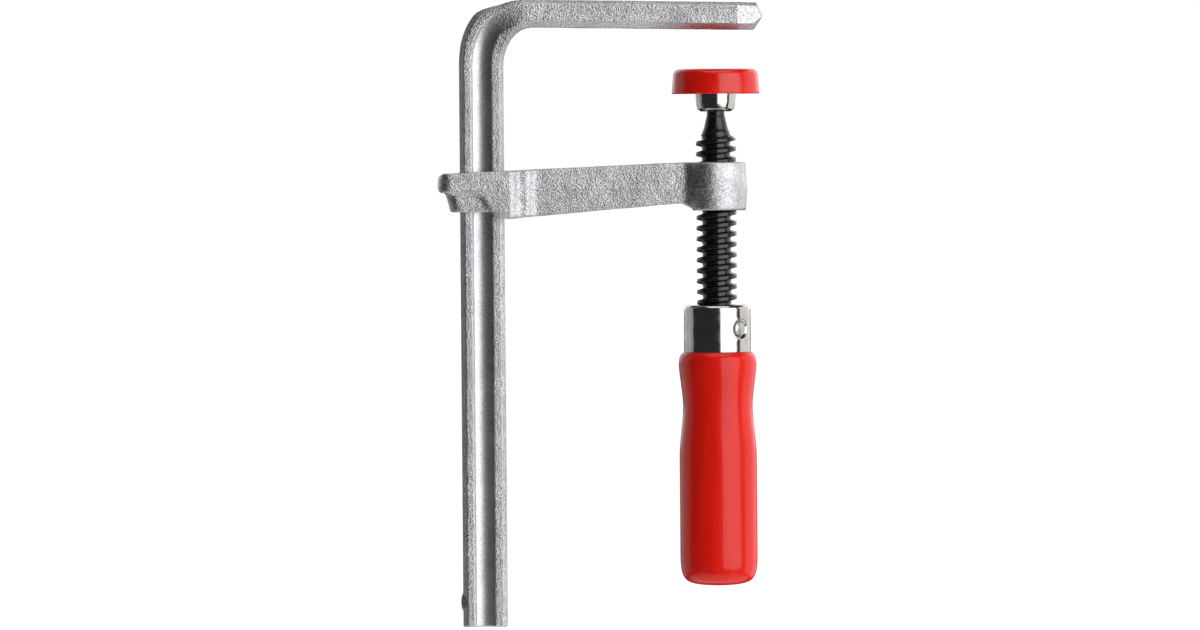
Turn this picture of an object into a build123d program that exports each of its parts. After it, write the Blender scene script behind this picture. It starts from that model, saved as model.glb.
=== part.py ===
from build123d import *
import os
from math import cos, radians, sin, sqrt, tan

os.makedirs("parts", exist_ok=True)

# A forged table clamp. Millimetres, +Z up. The origin is where the spindle's axis meets the fixed jaw's face.
# +X points from the rail to the tip of the fixed arm, and the clamp is symmetric about the XZ plane.

# Fixed arm and rail, one bent and forged bar
throat = 60.0               # spindle axis to the rail's inner edge
rail_width = 12.6
rail_thickness = 6.5
rail_bottom_z = -168.7
rail_edge = 1.2             # chamfer along the rail's four corners
groove_width = 5.8
groove_depth = 0.9
groove_land = 0.5           # least flat left beside the groove
groove_trace = 0.04         # what is left of the groove where it has died out
arm_height = 7.8
arm_depth = 10.0
arm_edge = 1.6              # chamfer along the fixed arm's corners
toe_in = 1.1                # degrees that the fixed arm leans down, so that it comes square under load
bend_reach = 8.2            # rail's inner edge to the centre that the bend turns about
bend_drop = 11.0            # jaw face to the same centre
straight = 5.0              # length at each end of the bend where the bar is already straight
nose_reach = 13.3           # spindle axis to the tip of the fixed arm
nose_taper = 6.8            # length of the taper at the nose, seen from above
nose_end_width = 4.4
nose_top_cut = 3.6          # how far the nose's upper bevel comes down
nose_top_slope = 1.7
nose_bottom_cut = 3.7
nose_bottom_slope = 2.4
cut_margin = 1.0            # how far cutting shapes reach past the metal

# Stop pin near the foot of the rail
stop_z = -161.6
stop_shank_radius = 1.5
stop_length = 8.0
stop_head_radius = 2.5
stop_head_height = 0.6

# Sliding arm, forged
slide_gap = 0.25            # clearance between rail and slot, on every side
sliding_top_z = -37.5       # boss's top face
boss_height = 13.7
boss_radius = 8.8
head_wall = 6.1             # metal outside the slot, on the rail's outer side
head_inner_wall = 2.0       # metal between the slot and the first step of the waist
waist_step_run = 2.0        # length of each of the waist's two sloping steps
waist_land = 2.4            # length of the flat between them
waist_depth = 11.0          # depth of that flat, between the head's and the web's
head_depth = 14.0
head_drop = 5.5             # height of the head's outer part
head_end_edge = 1.2         # height of the bevels on the head's outer end
head_top_inset = 1.4        # how far the upper bevel comes in
head_bottom_inset = 1.0
head_curve_reach = 11.5     # length of the curve that rises from the web to the head's lower edge
web_depth = 8.0
web_foot_reach = 1.2        # how far the web's lower edge runs past the slot's inner wall
web_foot_rise = 1.3
web_end_reach = 1.2         # how far the web's lower edge stops short of the boss
web_end_sag = 0.3
boss_foot_reach = 3.2       # how far in the boss's lower edge starts
collar_depth = 11.0
collar_wall_top = 4.2
collar_wall_bottom = 2.4
collar_bottom_drop = 11.0   # below the head's outer top edge
top_rise = 2.7              # the top face falls this much from the boss to the head's outer end
web_height_at_boss = 11.3
web_height_at_head = 14.2
parting_drop = 7.3          # boss's top face to the dies' parting plane
draft = 3.0                 # degrees
head_corner = 4.0           # radius of the head's outer end, seen from above
waist_round = 1.2           # radius at the edges of the waist's steps
collar_corner = 3.0         # radius of the collar's outer corners
boss_blend = 3.0            # radius of the hollow between web and boss
# points on the curve from the head's lower edge to the web, as shares of its reach and its height
head_curve = [(0.313, 0.115), (0.548, 0.45)]
snug = 0.01                 # how closely a corner's place is matched

# Spindle and its rolled thread
thread_pitch = 3.0
thread_radius = 5.7
thread_root_radius = 4.05
thread_crest_width = 1.0
thread_root_width = 1.9
thread_gap = 0.16           # radial clearance between spindle and arm threads
flank_gap = 0.14            # clearance along the axis, on each flank
thread_mark_z = -30.74      # height of a crest on the +X side
thread_top_z = -29.3
thread_run_out = 2.2        # length over which the thread's first turn grows to full height
tang_step = 0.1             # the thread stops this far above the ferrule's inside face
neck_radius = 2.65
neck_collar_radius = 2.9
neck_z = -26.2              # where the neck starts to flare into the thread
neck_collar_rise = 1.1
neck_collar_height = 1.9
ball_radius = 3.4
ball_z = -18.6
tang_radius = 4.0
tang_length = 46.0
tang_edge = 0.8             # chamfer at the tang's end
tang_end_gap = 0.1

# Pressure plate with its ball socket, snap ring and cap
plate_radius = 10.9
plate_thickness = 3.2
plate_top_z = -13.0
plate_edge = 0.5
cup_radius = 5.75
cup_waist_radius = 5.4
cup_waist_z = -21.0
cup_bottom_z = -23.2
cup_lip = 0.45              # wall of the cup at its mouth
cup_edge = 0.4              # chamfer between plate and cup
ball_gap = 0.05
ring_wire_radius = 0.4
ring_gap = 0.05
ring_inset = 0.1            # the ring's wire centre lies this far inside the ball's radius
ring_arc = 340.0            # degrees of a full turn
tilt = 6.0                  # degrees that the plate tilts each way on the ball
tilt_gap = 0.1
cap_radius = 11.9
cap_rim_radius = 12.5
cap_top = 1.9               # thickness of the cap's top
cap_bottom_z = -18.2
cap_round = 2.0
cap_lip = 0.6               # how far the cap's lip reaches under the plate
cap_lip_height = 0.9
cap_mouth = 0.3             # how far the cap's mouth opens past the plate

# Handle, ferrule and cross pin
ferrule_top_z = -77.9
ferrule_height = 13.5
ferrule_radius = 9.45
ferrule_wall = 1.0
ferrule_round = 1.2
handle_length = 66.1
handle_shoulder_radius = 11.0
handle_waist_radius = 9.85
handle_grip_radius = 10.95
handle_start_radius = 9.7
handle_end_radius = 9.7
shoulder_drop = 2.8
waist_drop = 15.1
belly_drop = 27.5
end_round = 8.5
end_crown = 1.0
pin_z = -84.7
pin_radius = 1.5
pin_head_radius = 2.0
pin_head_height = 0.5
pin_angle = -45.0           # direction of the cross pin, seen from above
dimple_radius = 2.8
dimple_depth = 0.5
dimple_flare = 0.8          # extra radius of the dimple's cone at twice its depth


def bar_section(plane, height, depth, edge, hollow):
    """The bar's cross-section: a chamfered rectangle with a hollow along each wide face."""
    x = height / 2
    y = depth / 2
    g = min(groove_width / 2, x - edge - groove_land)
    with BuildSketch(plane) as section:
        with BuildLine():
            Polyline((-g, y), (edge - x, y), (-x, y - edge), (-x, edge - y), (edge - x, -y), (-g, -y))
            ThreePointArc((-g, -y), (0, hollow - y), (g, -y))
            Polyline((g, -y), (x - edge, -y), (x, edge - y), (x, y - edge), (x - edge, y), (g, y))
            ThreePointArc((g, y), (0, y - hollow), (-g, y))
        make_face()
    return section.sketch


# ---- Rail with the fixed arm
lean = radians(toe_in)
arm_run = Vector(cos(lean), 0, -sin(lean))
arm_up = Vector(sin(lean), 0, cos(lean))
bend_x = bend_reach - throat
bend_z = -(bend_drop + bend_x * sin(lean)) / cos(lean)
bend_end = bend_x * cos(lean) - bend_z * sin(lean)    # where the bend ends, measured along the arm

# Share of the bar's turn, then how far its height, depth and groove have changed there
bend_stations = [
    (0.0, 0.0, 0.0, 0.0),
    (0.25, -0.08, 0.10, 0.0),
    (0.5, 0.06, 0.35, 0.35),
    (0.75, 0.78, 0.80, 0.9),
    (1.0, 1.0, 1.0, 1.0),
]


def bend_plane(share, height):
    """The plane across the bar at a share of its turn, centred on the bar."""
    angle = radians((90 + toe_in) * share)
    inner = 1 / sqrt((cos(angle) / bend_reach) ** 2 + (sin(angle) / bend_drop) ** 2)
    outward = Vector(-cos(angle), 0, sin(angle))
    along = Vector(sin(angle), 0, cos(angle))
    centre = Vector(bend_x, 0, bend_z) + outward * (inner + height / 2)
    return Plane(origin=centre, x_dir=outward, z_dir=along)


start = bend_plane(0, rail_width)
end = bend_plane(1, arm_height)
sections = []
for share, height_share, depth_share, fade in bend_stations:
    height = rail_width + (arm_height - rail_width) * height_share
    depth = rail_thickness + (arm_depth - rail_thickness) * depth_share
    edge = rail_edge + (arm_edge - rail_edge) * depth_share
    hollow = groove_depth + (groove_trace - groove_depth) * fade
    sections.append(bar_section(bend_plane(share, height), height, depth, edge, hollow))
rail_section = bar_section(start.offset(-straight), rail_width, rail_thickness, rail_edge, groove_depth)
arm_section = bar_section(end.offset(straight), arm_height, arm_depth, arm_edge, groove_trace)

with BuildPart() as rail:
    loft([rail_section, *sections, arm_section])
    extrude(rail_section, amount=rail_bottom_z - bend_z + straight)
    extrude(arm_section, amount=nose_reach - bend_end - straight)
    # the nose's upper and lower bevels
    with BuildSketch(Plane(origin=(0, 0, 0), x_dir=arm_run, z_dir=(0, -1, 0))):
        with BuildLine():
            Polyline(
                (nose_reach - nose_top_slope, arm_height),
                (nose_reach, arm_height - nose_top_cut),
                (nose_reach + cut_margin, arm_height + cut_margin),
                close=True,
            )
        make_face()
        with BuildLine():
            Polyline(
                (nose_reach - nose_bottom_slope, 0),
                (nose_reach, nose_bottom_cut),
                (nose_reach + cut_margin, -cut_margin),
                close=True,
            )
        make_face()
    extrude(amount=arm_depth, both=True, mode=Mode.SUBTRACT)
    # the nose's taper in plan
    with BuildSketch(Plane(origin=(0, 0, 0), x_dir=arm_run, z_dir=arm_up)):
        with BuildLine():
            Polyline(
                (nose_reach - nose_taper, arm_depth / 2),
                (nose_reach, nose_end_width / 2),
                (nose_reach + cut_margin, arm_depth / 2 + cut_margin),
                close=True,
            )
        make_face()
        mirror(about=Plane.XZ)
    extrude(amount=2 * arm_height, both=True, mode=Mode.SUBTRACT)
    # the stop pin's hole
    with Locations(Location((-throat - rail_width, 0, stop_z), (0, 90, 0))):
        Cylinder(
            stop_shank_radius,
            stop_length,
            align=(Align.CENTER, Align.CENTER, Align.MIN),
            mode=Mode.SUBTRACT,
        )
rail.part.label = "rail"

# ---- Stop pin: a domed pin pressed into the rail's outer edge
with BuildPart() as end_stop_pin:
    with BuildSketch(Plane.XZ):
        with BuildLine():
            Polyline(
                (-stop_head_height, 0),
                (stop_length, 0),
                (stop_length, stop_shank_radius),
                (0, stop_shank_radius),
                (0, stop_head_radius),
            )
            Spline((0, stop_head_radius), (-stop_head_height, 0), tangents=((-1, 0), (0, -1)))
        make_face()
    revolve(axis=Axis.X)
end_stop_pin.part.position = (-throat - rail_width, 0, stop_z)
end_stop_pin.part.label = "end_stop_pin"

# ---- The thread: a right-hand trapezoidal ridge that the spindle adds and the arm's hole cuts
thread_bottom_z = ferrule_top_z - ferrule_wall + tang_step
ridge_root = 0.3            # how far the ridge is sunk into the core, so that the two join


def thread_ridge(root_radius, crest_radius, root_width, crest_width, low_z, high_z):
    """A helical ridge from below low_z to above high_z, in step with the crest at thread_mark_z."""
    turns_down = int((thread_mark_z - low_z) / thread_pitch) + 1
    start_z = thread_mark_z - turns_down * thread_pitch
    slope = (root_width - crest_width) / 2 / (crest_radius - root_radius)
    sunk_radius = root_radius - ridge_root
    sunk_width = root_width + 2 * slope * ridge_root
    with BuildPart() as ridge:
        with BuildLine() as path:
            Helix(thread_pitch, high_z - start_z, crest_radius, center=(0, 0, start_z))
        with BuildSketch(Plane.XZ):
            with BuildLine():
                Polyline(
                    (sunk_radius, start_z - sunk_width / 2),
                    (crest_radius, start_z - crest_width / 2),
                    (crest_radius, start_z + crest_width / 2),
                    (sunk_radius, start_z + sunk_width / 2),
                    close=True,
                )
            make_face()
        sweep(path=path.line, is_frenet=True)
    return ridge.part


# ---- Sliding arm: a forging drafted both ways from its parting plane, with a slot and a tapped boss
slot_outer_x = -throat - rail_width - slide_gap
slot_inner_x = -throat + slide_gap
head_outer_x = slot_outer_x - head_wall
first_step_x = slot_inner_x + head_inner_wall
second_step_x = first_step_x + waist_step_run + waist_land
parting_z = sliding_top_z - parting_drop
boss_bottom_z = sliding_top_z - boss_height
head_top_z = sliding_top_z - top_rise
head_step_z = head_top_z - head_drop
collar_bottom_z = head_top_z - collar_bottom_drop
web_bottom_z = head_top_z - web_height_at_head + web_foot_rise
head_curve_x = slot_inner_x + web_foot_reach - head_curve_reach
head_curve_rise = head_step_z - web_bottom_z
nut_major_radius = thread_radius + thread_gap
nut_minor_radius = thread_root_radius + thread_gap


def corners_between(sketch, low_x, high_x):
    """The sketch's corners between two distances along the arm, leaving out any on its middle plane."""
    return sketch.vertices().filter_by(
        lambda corner: low_x - snug <= corner.X <= high_x + snug and abs(corner.Y) > snug
    )


def arm_plan(height, inset):
    """The forging's outline seen from above, at this height and drawn in by this much."""
    with BuildSketch(Plane.XY.offset(height)) as plan:
        with BuildLine():
            Polyline(
                (head_outer_x, 0),
                (head_outer_x, head_depth / 2),
                (first_step_x, head_depth / 2),
                (first_step_x + waist_step_run, waist_depth / 2),
                (second_step_x, waist_depth / 2),
                (second_step_x + waist_step_run, web_depth / 2),
                (0, web_depth / 2),
            )
            mirror(about=Plane.XZ)
            Line((0, web_depth / 2), (0, -web_depth / 2))
        make_face()
        fillet(corners_between(plan, head_outer_x, head_outer_x), head_corner)
        fillet(corners_between(plan, first_step_x, second_step_x + waist_step_run), waist_round)
        Circle(boss_radius)
        fillet(corners_between(plan, -boss_radius, -boss_radius / 2), boss_blend)
        if inset > 0:
            offset(amount=-inset, mode=Mode.REPLACE)
    return plan.sketch


with BuildPart() as sliding_arm:
    # head, web and boss, drafted up and down from the parting plane
    drafted_in = boss_height * tan(radians(draft))
    loft([arm_plan(parting_z, 0), arm_plan(parting_z + boss_height, drafted_in)], ruled=True)
    mirror(about=Plane.XY.offset(parting_z))
    # the outline seen from the side
    with BuildSketch(Plane.XZ) as outline:
        with BuildLine():
            right = boss_radius + cut_margin
            Polyline(
                (head_outer_x + head_bottom_inset, head_step_z),
                (head_outer_x, head_step_z + head_end_edge),
                (head_outer_x, head_top_z - head_end_edge),
                (head_outer_x + head_top_inset, head_top_z),
                (-boss_radius, sliding_top_z),
                (right, sliding_top_z),
                (right, boss_bottom_z),
                (boss_foot_reach - boss_radius, boss_bottom_z),
                (-boss_radius - web_end_reach, sliding_top_z - web_height_at_boss - web_end_sag),
                (slot_inner_x + web_foot_reach, web_bottom_z),
            )
            curve = [(slot_inner_x + web_foot_reach, web_bottom_z)]
            for reach, rise in head_curve:
                x = slot_inner_x + web_foot_reach - reach * head_curve_reach
                curve.append((x, web_bottom_z + rise * head_curve_rise))
            curve.append((head_curve_x, head_step_z))
            Spline(*curve, tangents=((-1, 0), (-1, 0)))
            Line((head_curve_x, head_step_z), (head_outer_x + head_bottom_inset, head_step_z))
        make_face()
    extrude(amount=head_depth, both=True, mode=Mode.INTERSECT)
    # the thinner collar below the head, round the rail
    with BuildPart(mode=Mode.PRIVATE) as collar:
        with BuildSketch(Plane.XZ):
            with BuildLine():
                Polyline(
                    (slot_outer_x - collar_wall_top, head_step_z + cut_margin),
                    (slot_outer_x - collar_wall_bottom, collar_bottom_z),
                    (slot_inner_x, collar_bottom_z),
                    (slot_inner_x, head_step_z + cut_margin),
                    close=True,
                )
            make_face()
        extrude(amount=collar_depth / 2, both=True)
        fillet(collar.edges().filter_by(Axis.Y, reverse=True).sort_by(Axis.X)[:2], collar_corner)
    add(collar.part)
    # the slot for the rail
    with Locations(((slot_outer_x + slot_inner_x) / 2, 0, parting_z)):
        Box(
            slot_inner_x - slot_outer_x,
            rail_thickness + 2 * slide_gap,
            4 * boss_height,
            mode=Mode.SUBTRACT,
        )
    # the tapped hole
    with Locations((0, 0, parting_z)):
        Cylinder(nut_minor_radius, 2 * boss_height, mode=Mode.SUBTRACT)
    add(
        thread_ridge(
            nut_minor_radius,
            nut_major_radius,
            thread_root_width + 2 * flank_gap,
            thread_crest_width + 2 * flank_gap,
            boss_bottom_z - thread_pitch,
            sliding_top_z + thread_pitch,
        ),
        mode=Mode.SUBTRACT,
    )
sliding_arm.part.label = "sliding_arm"

# ---- Spindle: a black screw with a ball at its upper end and a plain tang inside the handle
pin_way = Vector(cos(radians(pin_angle)), sin(radians(pin_angle)), 0)
pin_plane = Plane(origin=(0, 0, pin_z), z_dir=pin_way)
with BuildPart() as spindle:
    add(
        thread_ridge(
            thread_root_radius,
            thread_radius,
            thread_root_width,
            thread_crest_width,
            thread_bottom_z,
            thread_top_z,
        )
    )
    # both ends of the ridge run out into the core
    with BuildSketch(Plane.XZ):
        with BuildLine():
            Polyline(
                (0, thread_bottom_z),
                (thread_radius + cut_margin, thread_bottom_z),
                (thread_radius + cut_margin, thread_top_z - thread_run_out),
                (thread_root_radius - ridge_root, thread_top_z + ridge_root),
                (0, thread_top_z + ridge_root),
                close=True,
            )
        make_face()
    revolve(axis=Axis.Z, mode=Mode.INTERSECT)
    # core, flare, neck with its small collar, and ball
    neck_top_z = ball_z - sqrt(ball_radius**2 - neck_radius**2)
    with BuildSketch(Plane.XZ):
        with BuildLine():
            Polyline(
                (0, ball_z + ball_radius),
                (0, thread_bottom_z - tang_length),
                (tang_radius - tang_edge, thread_bottom_z - tang_length),
                (tang_radius, thread_bottom_z - tang_length + tang_edge),
                (tang_radius, thread_bottom_z),
                (thread_root_radius, thread_bottom_z),
                (thread_root_radius, thread_top_z),
            )
            Spline(
                (thread_root_radius, thread_top_z),
                (neck_radius, neck_z),
                tangents=((-0.5, 1), (-0.1, 1)),
            )
            Polyline(
                (neck_radius, neck_z),
                (neck_collar_radius, neck_z + neck_collar_rise),
                (neck_radius, neck_z + neck_collar_height),
                (neck_radius, neck_top_z),
            )
            ThreePointArc((neck_radius, neck_top_z), (ball_radius, ball_z), (0, ball_z + ball_radius))
        make_face()
    revolve(axis=Axis.Z)
    with Locations(pin_plane):
        Cylinder(pin_radius, 4 * tang_radius, mode=Mode.SUBTRACT)
spindle.part.label = "spindle"

# ---- Pressure plate: a pressed steel disc with the ball's socket below it
ring_radius = ball_radius - ring_inset
ring_drop = sqrt((ball_radius + ring_wire_radius + ring_gap) ** 2 - ring_radius**2)
ring_z = ball_z - ring_drop
ring_swing = (ring_radius + ring_wire_radius) * sin(radians(tilt))
groove_half_height = ring_wire_radius + ring_swing + tilt_gap
groove_radius = ring_radius + ring_wire_radius + ring_drop * sin(radians(tilt)) + tilt_gap
plate_bottom_z = plate_top_z - plate_thickness
socket_radius = ball_radius + ball_gap
with BuildPart() as pressure_plate:
    with BuildSketch(Plane.XZ):
        with BuildLine():
            Polyline(
                (0, ball_z + socket_radius),
                (0, plate_top_z),
                (plate_radius - plate_edge, plate_top_z),
                (plate_radius, plate_top_z - plate_edge),
                (plate_radius, plate_bottom_z),
                (cup_radius + cup_edge, plate_bottom_z),
                (cup_radius, plate_bottom_z - cup_edge),
                (cup_radius, cap_bottom_z),
                (cup_waist_radius, cup_waist_z),
            )
            Spline(
                (cup_waist_radius, cup_waist_z),
                (socket_radius + cup_lip, cup_bottom_z),
                tangents=((-0.1, -1), (-1, -0.25)),
            )
            Polyline(
                (socket_radius + cup_lip, cup_bottom_z),
                (socket_radius, cup_bottom_z),
                (socket_radius, ring_z - groove_half_height),
                (groove_radius, ring_z - groove_half_height),
                (groove_radius, ring_z + groove_half_height),
                (socket_radius, ring_z + groove_half_height),
                (socket_radius, ball_z),
            )
            JernArc((socket_radius, ball_z), (0, 1), socket_radius, 90)
        make_face()
    revolve(axis=Axis.Z)
pressure_plate.part.label = "pressure_plate"

# ---- Snap ring: spring wire that sits in the cup's groove and holds the ball in
with BuildPart() as snap_ring:
    with BuildSketch(Plane.XZ):
        with Locations((ring_radius, ring_z)):
            Circle(ring_wire_radius)
    revolve(axis=Axis.Z, revolution_arc=ring_arc)
snap_ring.part.label = "snap_ring"

# ---- Protective cap: soft plastic, snapped over the plate
with BuildPart() as protective_cap:
    with BuildSketch(Plane.XZ) as cap_profile:
        cap_top_z = plate_top_z + cap_top
        with BuildLine():
            Polyline(
                (0, plate_top_z),
                (0, cap_top_z),
                (cap_radius, cap_top_z),
                (cap_rim_radius, cap_bottom_z),
                (plate_radius + cap_mouth, cap_bottom_z),
                (plate_radius - cap_lip, cap_bottom_z + cap_lip_height),
                (plate_radius - cap_lip, plate_bottom_z),
                (plate_radius, plate_bottom_z),
                (plate_radius, plate_top_z),
                close=True,
            )
        make_face()
        fillet(cap_profile.vertices().sort_by_distance((cap_radius, cap_top_z))[0], cap_round)
    revolve(axis=Axis.Z)
protective_cap.part.label = "protective_cap"

# ---- Ferrule: a drawn steel cup pressed over the handle's neck
ferrule_bottom_z = ferrule_top_z - ferrule_height
hole_radius = thread_radius + thread_gap
with BuildPart() as ferrule:
    with BuildSketch(Plane.XZ) as ferrule_profile:
        with BuildLine():
            Polyline(
                (hole_radius, ferrule_top_z - ferrule_wall),
                (hole_radius, ferrule_top_z),
                (ferrule_radius, ferrule_top_z),
                (ferrule_radius, ferrule_bottom_z),
                (ferrule_radius - ferrule_wall, ferrule_bottom_z),
                (ferrule_radius - ferrule_wall, ferrule_top_z - ferrule_wall),
                close=True,
            )
        make_face()
        fillet(
            ferrule_profile.vertices().sort_by_distance((ferrule_radius, ferrule_top_z))[0],
            ferrule_round,
        )
    revolve(axis=Axis.Z)
    for way in (1, -1):
        dimple_floor = Plane(origin=(0, 0, pin_z), z_dir=pin_way * way).offset(ferrule_radius - dimple_depth)
        with Locations(dimple_floor):
            Cone(
                pin_head_radius,
                dimple_radius + dimple_flare,
                2 * dimple_depth,
                align=(Align.CENTER, Align.CENTER, Align.MIN),
                mode=Mode.SUBTRACT,
            )
    with Locations(pin_plane):
        Cylinder(pin_radius, 4 * ferrule_radius, mode=Mode.SUBTRACT)
ferrule.part.label = "ferrule"

# ---- Handle: turned hardwood, lacquered
handle_top_z = ferrule_bottom_z
handle_bottom_z = handle_top_z - handle_length
neck_top = ferrule_top_z - ferrule_wall
with BuildPart() as handle:
    with BuildSketch(Plane.XZ):
        with BuildLine():
            Polyline(
                (0, handle_bottom_z),
                (0, neck_top),
                (ferrule_radius - ferrule_wall, neck_top),
                (ferrule_radius - ferrule_wall, handle_top_z),
                (handle_start_radius, handle_top_z),
            )
            Spline(
                (handle_start_radius, handle_top_z),
                (handle_shoulder_radius, handle_top_z - shoulder_drop),
                (handle_waist_radius, handle_top_z - waist_drop),
                (handle_grip_radius, handle_top_z - belly_drop),
                tangents=((1, -0.3), (0, -1)),
            )
            Line(
                (handle_grip_radius, handle_top_z - belly_drop),
                (handle_grip_radius, handle_bottom_z + end_round),
            )
            Spline(
                (handle_grip_radius, handle_bottom_z + end_round),
                (handle_end_radius, handle_bottom_z + 2 * end_crown),
                (0, handle_bottom_z),
                tangents=((0, -1), (-1, 0)),
            )
        make_face()
    revolve(axis=Axis.Z)
    # the bore for the tang
    with Locations((0, 0, neck_top)):
        Cylinder(
            tang_radius,
            tang_length + tang_end_gap,
            align=(Align.CENTER, Align.CENTER, Align.MAX),
            mode=Mode.SUBTRACT,
        )
    with Locations(pin_plane):
        Cylinder(pin_radius, 4 * handle_grip_radius, mode=Mode.SUBTRACT)
handle.part.label = "handle"

# ---- Cross pin: through ferrule, wood and tang, peened over in the ferrule's dimples
pin_half_length = ferrule_radius - dimple_depth
with BuildPart() as cross_pin:
    with BuildSketch(Plane.XZ):
        with BuildLine():
            Polyline(
                (0, 0),
                (pin_radius, 0),
                (pin_radius, pin_half_length),
                (pin_head_radius, pin_half_length),
            )
            Spline(
                (pin_head_radius, pin_half_length),
                (0, pin_half_length + pin_head_height),
                tangents=((0, 1), (-1, 0)),
            )
            Line((0, pin_half_length + pin_head_height), (0, 0))
        make_face()
    revolve(axis=Axis.Z)
    mirror(about=Plane.XY)
cross_pin.part.location = pin_plane.location
cross_pin.part.label = "cross_pin"

pieces = (
    rail,
    end_stop_pin,
    sliding_arm,
    spindle,
    pressure_plate,
    snap_ring,
    protective_cap,
    ferrule,
    handle,
    cross_pin,
)
for piece in pieces:
    export_step(piece.part, "parts/" + piece.part.label + ".step")
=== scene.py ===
from math import atan2, cos, hypot, pi, radians, sin, sqrt

import bmesh
import bpy
from mathutils import Matrix, Vector, noise


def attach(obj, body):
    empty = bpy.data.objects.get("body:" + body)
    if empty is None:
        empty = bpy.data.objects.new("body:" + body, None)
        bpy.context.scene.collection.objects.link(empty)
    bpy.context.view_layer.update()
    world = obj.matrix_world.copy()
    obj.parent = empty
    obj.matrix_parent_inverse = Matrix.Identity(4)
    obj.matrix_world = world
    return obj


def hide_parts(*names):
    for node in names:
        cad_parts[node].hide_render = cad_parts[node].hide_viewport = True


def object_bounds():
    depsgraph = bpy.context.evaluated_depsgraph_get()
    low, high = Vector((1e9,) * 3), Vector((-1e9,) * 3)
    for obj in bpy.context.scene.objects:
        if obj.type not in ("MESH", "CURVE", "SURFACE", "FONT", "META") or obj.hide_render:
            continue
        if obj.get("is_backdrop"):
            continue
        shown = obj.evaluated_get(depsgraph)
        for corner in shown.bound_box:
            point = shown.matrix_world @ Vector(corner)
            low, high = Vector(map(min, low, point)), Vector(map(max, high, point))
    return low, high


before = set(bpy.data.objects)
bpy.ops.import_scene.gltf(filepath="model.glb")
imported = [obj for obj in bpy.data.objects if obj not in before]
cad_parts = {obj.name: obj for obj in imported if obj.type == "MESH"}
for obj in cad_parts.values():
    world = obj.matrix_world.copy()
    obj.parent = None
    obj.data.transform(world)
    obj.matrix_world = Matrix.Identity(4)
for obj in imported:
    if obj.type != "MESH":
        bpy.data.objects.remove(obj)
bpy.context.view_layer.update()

# --------------------------------------------------------------------------------------------------
# Rail and fixed arm. One rolled steel bar with a hollow along both wide faces. Its upper end is bent
# over and forged into the fixed arm. The bar is shot-blasted and zinc plated, and only the hollow keeps
# its rolled smoothness. Lengths are in millimetres until a mesh is made.
MM = 0.001
THROAT = 60.0
RAIL_WIDTH = 12.6
RAIL_THICKNESS = 6.5
RAIL_FOOT = -168.7
INNER_EDGE = 1.1
OUTER_EDGE = 1.5
HOLLOW_HALF = 2.9
HOLLOW_DEPTH = 0.85
ARM_HEIGHT = 7.8
ARM_DEPTH = 10.0
ARM_UPPER_EDGE = 1.0
ARM_LOWER_EDGE = 1.9
EDGE_ROUND = 0.35
TOE_IN = radians(1.1)
BEND_REACH = 8.2
BEND_DROP = 11.0
BEND_UPSET = 0.085
NOSE_REACH = 13.3
NOSE_TAPER = 6.8
NOSE_END = 4.4
NOSE_LOWER_RISE = 3.7
NOSE_LOWER_LENGTH = 2.4
NOSE_UPPER_DROP = 3.6
NOSE_UPPER_LENGTH = 1.7
FLAT_FACE = 0.03
FOOT_ROUND = 0.5
LAND_STEPS = 4
HOLLOW_STEPS = 22
FOOT_STEPS = 8
RAIL_STEPS = 120
BEND_STEPS = 96
ARM_STEPS = 144
FORGED_FROM = 170
FORGED_FULLY = 230


def ease(value, start, end):
    """0 before start, 1 after end and smooth between them."""
    t = min(1.0, max(0.0, (value - start) / (end - start)))
    return t * t * (3 - 2 * t)


def run(start, end, steps):
    """Points along a straight line, without its last point."""
    shares = [i / steps for i in range(steps)]
    return [(start[0] + (end[0] - start[0]) * s, start[1] + (end[1] - start[1]) * s) for s in shares]


def rounded(corners, radii, steps=6):
    """A profile through these (radius, height) corners, each rounded by its radius."""
    points = [corners[0]]
    for before, corner, after, radius in zip(corners, corners[1:], corners[2:], radii):
        here = Vector(corner)
        back = (Vector(before) - here).normalized()
        on = (Vector(after) - here).normalized()
        half = back.angle(on) / 2
        if radius == 0 or half > radians(89):
            points.append(corner)
            continue
        trim = radius / max(0.05, (sin(half) / cos(half)))
        centre = here + (back + on).normalized() * radius / sin(half)
        first = here + back * trim - centre
        last = here + on * trim - centre
        swing = atan2(first.x * last.y - first.y * last.x, first.dot(last))
        for i in range(steps + 1):
            spin = Matrix.Rotation(swing * i / steps, 2)
            points.append(tuple(centre + spin @ first))
    points.append(corners[-1])
    return points


def bar_section(height, depth, inner_edge, outer_edge, hollow):
    """The bar's chamfered cross-section as (height, depth) points about its middle, inner edge first."""
    h = height / 2
    d = depth / 2
    inner = min(inner_edge, 0.45 * h, 0.8 * d)
    outer = min(outer_edge, 0.45 * h, 0.8 * d)
    soft = min(EDGE_ROUND, 0.4 * inner, 0.4 * outer)
    half = min(HOLLOW_HALF, 0.8 * (h - max(inner, outer)))
    radius = (half**2 + hollow**2) / (2 * hollow)
    dip = [-half + 2 * half * i / HOLLOW_STEPS for i in range(HOLLOW_STEPS)]
    chamfer = rounded([(-h, 0), (-h, d - inner), (inner - h, d), (-half, d)], (soft, soft), 4)
    points = chamfer[:-1] + run(chamfer[-2], (-half, d), LAND_STEPS)[1:]
    points += [(x, d - hollow + radius - sqrt(radius**2 - x**2)) for x in dip]
    chamfer = rounded([(half, d), (h - outer, d), (h, d - outer), (h, 0)], (soft, soft), 4)
    points += run((half, d), chamfer[1], LAND_STEPS) + chamfer[1:]
    return points + [(x, -y) for x, y in reversed(points[1:-1])]


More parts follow.
